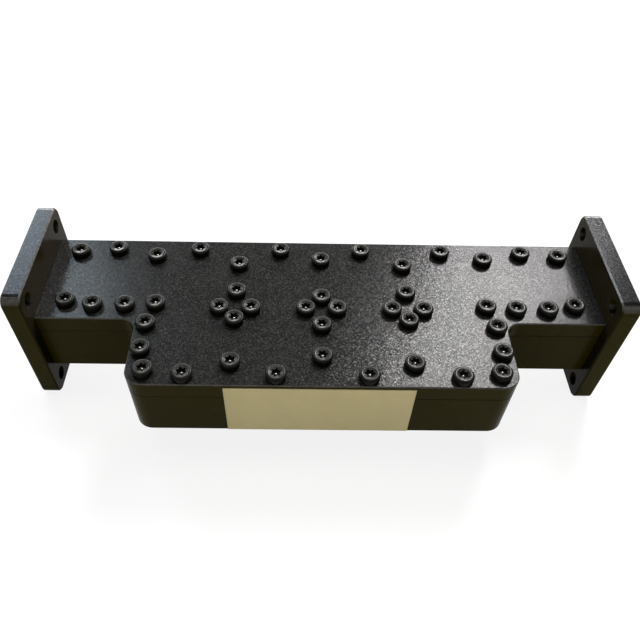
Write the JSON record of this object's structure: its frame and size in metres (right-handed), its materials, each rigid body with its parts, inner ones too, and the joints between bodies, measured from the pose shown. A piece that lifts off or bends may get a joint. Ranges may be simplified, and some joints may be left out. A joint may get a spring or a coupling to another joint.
{
  "type": "rf bandpass filter",
  "caption": "Waveguide band-pass filter: milled dark housing with a square flange at each end, a flat lid held by star-socket cap screws, and a plain label on its front wall.",
  "frame": {"origin": "centre of the left port's mating face, on the waveguide axis", "axes": "+X along the waveguide axis toward the right port, +Y away from the wide front side with the label, +Z out of the lid"},
  "size_m": [0.1722, 0.0606, 0.0414],
  "materials": {
    "housing": "fine-textured black coating on milled aluminium",
    "lid": "fine-textured black coating on aluminium plate",
    "screw": "glossy black oxide",
    "label": "satin pale gold film"
  },
  "bodies": {
    "root": {"housing": "housing", "lid": "lid", "label": "label", "back_screw_1": "screw", "back_screw_2": "screw", "back_screw_3": "screw", "back_screw_4": "screw", "back_screw_5": "screw", "back_screw_6": "screw", "back_screw_7": "screw", "back_screw_8": "screw", "back_screw_9": "screw", "back_screw_10": "screw", "back_screw_11": "screw", "back_screw_12": "screw", "back_screw_13": "screw", "left_arm_screw_1": "screw", "left_arm_screw_2": "screw", "left_arm_screw_3": "screw", "left_arm_screw_4": "screw", "right_arm_screw_1": "screw", "right_arm_screw_2": "screw", "right_arm_screw_3": "screw", "right_arm_screw_4": "screw", "left_step_screw_1": "screw", "left_step_screw_2": "screw", "left_step_screw_3": "screw", "right_step_screw_1": "screw", "right_step_screw_2": "screw", "right_step_screw_3": "screw", "left_post_screw_1": "screw", "left_post_screw_2": "screw", "left_post_screw_3": "screw", "left_post_screw_4": "screw", "centre_post_screw_1": "screw", "centre_post_screw_2": "screw", "centre_post_screw_3": "screw", "centre_post_screw_4": "screw", "right_post_screw_1": "screw", "right_post_screw_2": "screw", "right_post_screw_3": "screw", "right_post_screw_4": "screw", "front_screw_1": "screw", "front_screw_2": "screw", "front_screw_3": "screw", "front_screw_4": "screw", "front_screw_5": "screw", "front_screw_6": "screw", "front_screw_7": "screw"}
  },
  "joints": []
}
